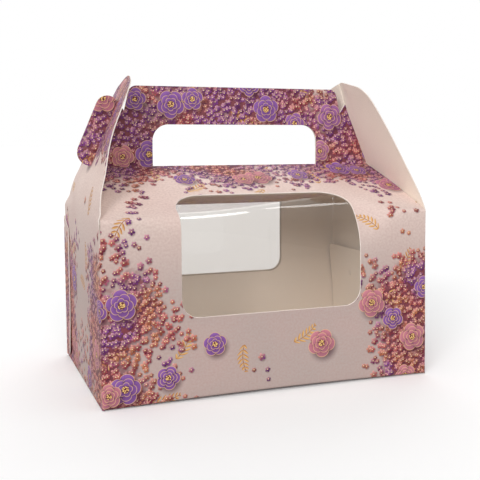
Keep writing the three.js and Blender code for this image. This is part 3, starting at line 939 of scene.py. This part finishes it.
ear_half = [
    (slit_half, EAR_SPLIT - WALL),
    (end_half, 0),
    (EAR_WAIST, EAR_WAIST_RISE, EAR_WAIST_RADIUS),
    (EAR_SHOULDER, EAR_SHOULDER_RISE, EAR_SHOULDER_RADIUS),
]
ear_tip = (0, EAR_TIP_RISE, EAR_TIP_RADIUS)
ear_outline = [*ear_half, ear_tip, *both_halves(ear_half)[len(ear_half):]]
slit_outline = both_halves([(slit_side, slit_low), (slit_side, slit_high)])
ear_columns = [*lines(-60, -12, 6), *lines(-10, 10, 1.25), *lines(12, 60, 6)]
ear_rows = [*lines(EAR_SPLIT - WALL, 24, 1.6), *lines(28, 80, 3)]
ear_sheet = cut_sheet(
    [round_corners(ear_outline), round_corners(slit_outline)], ear_columns, ear_rows)
for name, node, wing, place, spot, side in (
    ("right_ear_board", "right_ear", "right_wing", right_ear_place, right_spot, 1),
    ("left_ear_board", "left_ear", "left_wing", left_ear_place, left_spot, -1),
):
    ear = fold_board(
        name, ear_sheet, place, lambda u, rise: spot(u, WALL + ear_length(rise)), PRINTED)
    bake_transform(ear)
    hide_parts(node)


# Window films
# Clear polyester sheets glued by their margins inside the windows. The front one is a single sheet,
# which bends over the eaves with the board.
# The back one is a little dull.

FILM, GLUE = 0.2, 0.08
FILM_DEPTH = BOARD + GLUE
FILM_MARGIN, BACK_FILM_MARGIN, FILM_RADIUS = 3.0, 1.0, 4.0
FILM_MIRROR = 0.03


# Polyester film: clear and glossy, so it shows only by what it mirrors, most at a glancing angle.
# The tint sets how much it dulls what lies behind it.
def polyester_film(name, tint):
    material, tree, shader = new_finish(name)
    tree.nodes.remove(shader)
    clear = wire(tree, "BsdfTransparent", ink(tint))
    gloss = wire(tree, "BsdfAnisotropic", ink("#ffffff"), 0.03)
    glance = wire(tree, "LayerWeight", 0.5).outputs["Facing"]
    grazing = wire(tree, "Math", glance, 5.0, operation="POWER")
    mirror = wire(tree, "Math", grazing, 1 - FILM_MIRROR, FILM_MIRROR, operation="MULTIPLY_ADD")
    mixed = wire(tree, "MixShader", mirror, clear, gloss)
    tree.links.new(mixed.outputs[0], tree.nodes["Material Output"].inputs["Surface"])
    return material


film_half = WINDOW_HALF + FILM_MARGIN
front_film_outline = both_halves([
    (film_half, WINDOW_SILL - FILM_MARGIN, FILM_RADIUS),
    (film_half, WALL + WINDOW_REACH + FILM_MARGIN, FILM_RADIUS),
])
film_rows = [
    *lines(42, 74, 8), *lines(EAVES_SPLIT, 2 * WALL - EAVES_SPLIT, 1.0), *lines(131, 136, 5)]
front_film_sheet = cut_sheet([round_corners(front_film_outline)], lines(-60, 60, 6), film_rows)
clear_film = [polyester_film("clear_polyester_film", "#f8f7f6")]
front_film = fold_board(
    "front_film", front_film_sheet, front_place, front_spot, clear_film, FILM_DEPTH, FILM)
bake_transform(front_film)
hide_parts("front_window_film_lower", "front_window_film_upper")

back_film_half = BACK_HALF + BACK_FILM_MARGIN
back_film_outline = both_halves([
    (back_film_half, BACK_SILL - BACK_FILM_MARGIN, BACK_RADIUS),
    (back_film_half, BACK_SPLIT - CLEARANCE),
])
back_film_sheet = cut_sheet(
    [round_corners(back_film_outline)], lines(-60, 60, 12), lines(44, 96, 12))
dulled_film = [polyester_film("dulled_polyester_film", "#f0eeec")]
back_film = fold_board(
    "back_film", back_film_sheet, back_place, back_spot, dulled_film, FILM_DEPTH, FILM)
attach(back_film, "box")
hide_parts("back_window_film")


# Table, light and camera
# A white table in a white studio, under soft light from overhead, the front, the left and weakly
# from behind. A softbox and a strip light above show as streaks in the bent film. The table keeps
# the box's shadow.

FLOOR_SIZE = 60.0
FLOOR_DROP = 0.0003
SURROUNDINGS = 0.5
LAMP_AIM = (0, 0, 0.11)
LENS_MM, SENSOR_MM = 60.18, 36.0
FRAME_DROP = -20 / 480
CAMERA_SPOT = (-0.175, -0.4803, 0.1428)
CAMERA_YAW, CAMERA_PITCH, CAMERA_ROLL = (math.radians(a) for a in (20.22, 5.48, -0.21))


def shown_to_eye(tree):
    """1 where the eye sees a thing, also in gloss and film, and 0 where it only gives light."""
    path = wire(tree, "LightPath")
    seen = path.outputs["Is Camera Ray"]
    for ray in ("Is Glossy Ray", "Is Transmission Ray"):
        seen = wire(tree, "Math", seen, path.outputs[ray], operation="MAXIMUM")
    return seen


floor_mesh = bpy.data.meshes.new("table_top")
half = FLOOR_SIZE / 2
floor_mesh.from_pydata(
    [(-half, -half, 0), (half, -half, 0), (half, half, 0), (-half, half, 0)], [], [(0, 1, 2, 3)])
floor = bpy.data.objects.new("table_top", floor_mesh)
floor.location.z = -FLOOR_DROP
scene.collection.objects.link(floor)

# Matt white paint: it looks white, and sends no more light back to the box than a pale grey does.
white_table, table_tree, table_shader = new_finish("white_table")
shown = wire(table_tree, "MixRGB", shown_to_eye(table_tree), ink("#b8b8b8"), ink("#ffffff"))
table_tree.links.new(shown.outputs[0], table_shader.inputs["Base Color"])
table_shader.inputs["Roughness"].default_value = 0.9
floor_mesh.materials.append(white_table)

world = bpy.data.worlds.new("white_studio")
world.use_nodes = True
scene.world = world
sky = world.node_tree
strength = wire(sky, "MapRange", shown_to_eye(sky), 0.0, 1.0, SURROUNDINGS, 1.0)
sky.nodes["Background"].inputs["Color"].default_value = ink("#ffffff")
sky.links.new(strength.outputs[0], sky.nodes["Background"].inputs["Strength"])

for name, energy, spread, aim in (
    ("ceiling_light", 0.25, 100, (0.25, 0.05, -0.95)),
    ("front_light", 0.95, 24, (0.1, 0.88, -0.44)),
    ("side_light", 1.5, 24, (0.63, 0.65, -0.42)),
    ("back_light", 0.7, 60, (-0.3, -0.8, -0.5)),
):
    sun = bpy.data.lights.new(name, "SUN")
    sun.energy, sun.angle = energy, math.radians(spread)
    sun_holder = bpy.data.objects.new(name, sun)
    sun_holder.rotation_euler = Vector(aim).to_track_quat("-Z", "Y").to_euler()
    scene.collection.objects.link(sun_holder)

for name, shape, long, short, watts, spot, along in (
    ("softbox", "ELLIPSE", 0.62, 0.2, 2.4, (0.385, -0.13, 1.3), (0.42, 0.91, 0)),
    ("strip_light", "RECTANGLE", 0.26, 0.05, 0.2, (0.66, 0.15, 1.3), (0.12, -0.2, 0)),
):
    lamp = bpy.data.lights.new(name, "AREA")
    lamp.shape, lamp.size, lamp.size_y, lamp.energy = shape, long, short, watts
    lamp_holder = bpy.data.objects.new(name, lamp)
    behind = (Vector(spot) - Vector(LAMP_AIM)).normalized()
    lengthways = (Vector(along) - Vector(along).project(behind)).normalized()
    turned = Matrix((lengthways, behind.cross(lengthways), behind)).transposed().to_4x4()
    lamp_holder.matrix_world = Matrix.Translation(spot) @ turned
    lamp_holder.visible_diffuse = False
    scene.collection.objects.link(lamp_holder)

camera = bpy.data.cameras.new("camera")
camera.lens, camera.sensor_width, camera.shift_y = LENS_MM, SENSOR_MM, FRAME_DROP
camera.clip_start = 0.01
camera_holder = bpy.data.objects.new("camera", camera)
scene.collection.objects.link(camera_holder)
forward = Vector((
    math.sin(CAMERA_YAW) * math.cos(CAMERA_PITCH),
    math.cos(CAMERA_YAW) * math.cos(CAMERA_PITCH),
    -math.sin(CAMERA_PITCH),
))
level = Vector((math.cos(CAMERA_YAW), -math.sin(CAMERA_YAW), 0))
above = level.cross(forward)
right = level * math.cos(CAMERA_ROLL) + above * math.sin(CAMERA_ROLL)
upward = above * math.cos(CAMERA_ROLL) - level * math.sin(CAMERA_ROLL)
turned = Matrix((right, upward, -forward)).transposed().to_4x4()
camera_holder.matrix_world = Matrix.Translation(CAMERA_SPOT) @ turned
scene.camera = camera_holder

scene.view_settings.view_transform = "Standard"
